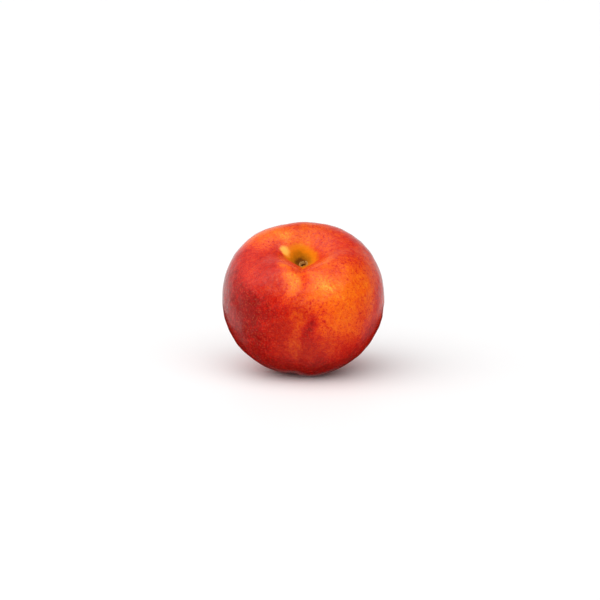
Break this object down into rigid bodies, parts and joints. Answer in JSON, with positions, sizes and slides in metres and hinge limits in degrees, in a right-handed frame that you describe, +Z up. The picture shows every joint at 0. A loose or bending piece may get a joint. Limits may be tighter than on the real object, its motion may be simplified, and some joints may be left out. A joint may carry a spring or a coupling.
{
  "type": "nectarine",
  "caption": "A whole ripe nectarine lying on its side, with a deep stem cavity, a suture down its front and a small flat resting spot",
  "frame": {"origin": "on the flat resting spot under the fruit, straight below the fruit's centre", "axes": "+Z up as it lies; the stem cavity faces up and towards -Y, and the suture is on the -Y side; +X across its widest"},
  "size_m": [0.0656, 0.0631, 0.0602],
  "materials": {
    "skin": "smooth waxy fruit skin, semi-gloss, deep red blush over yellow-orange with fine darker specks"
  },
  "bodies": {
    "root": {"nectarine": "skin"}
  },
  "joints": []
}
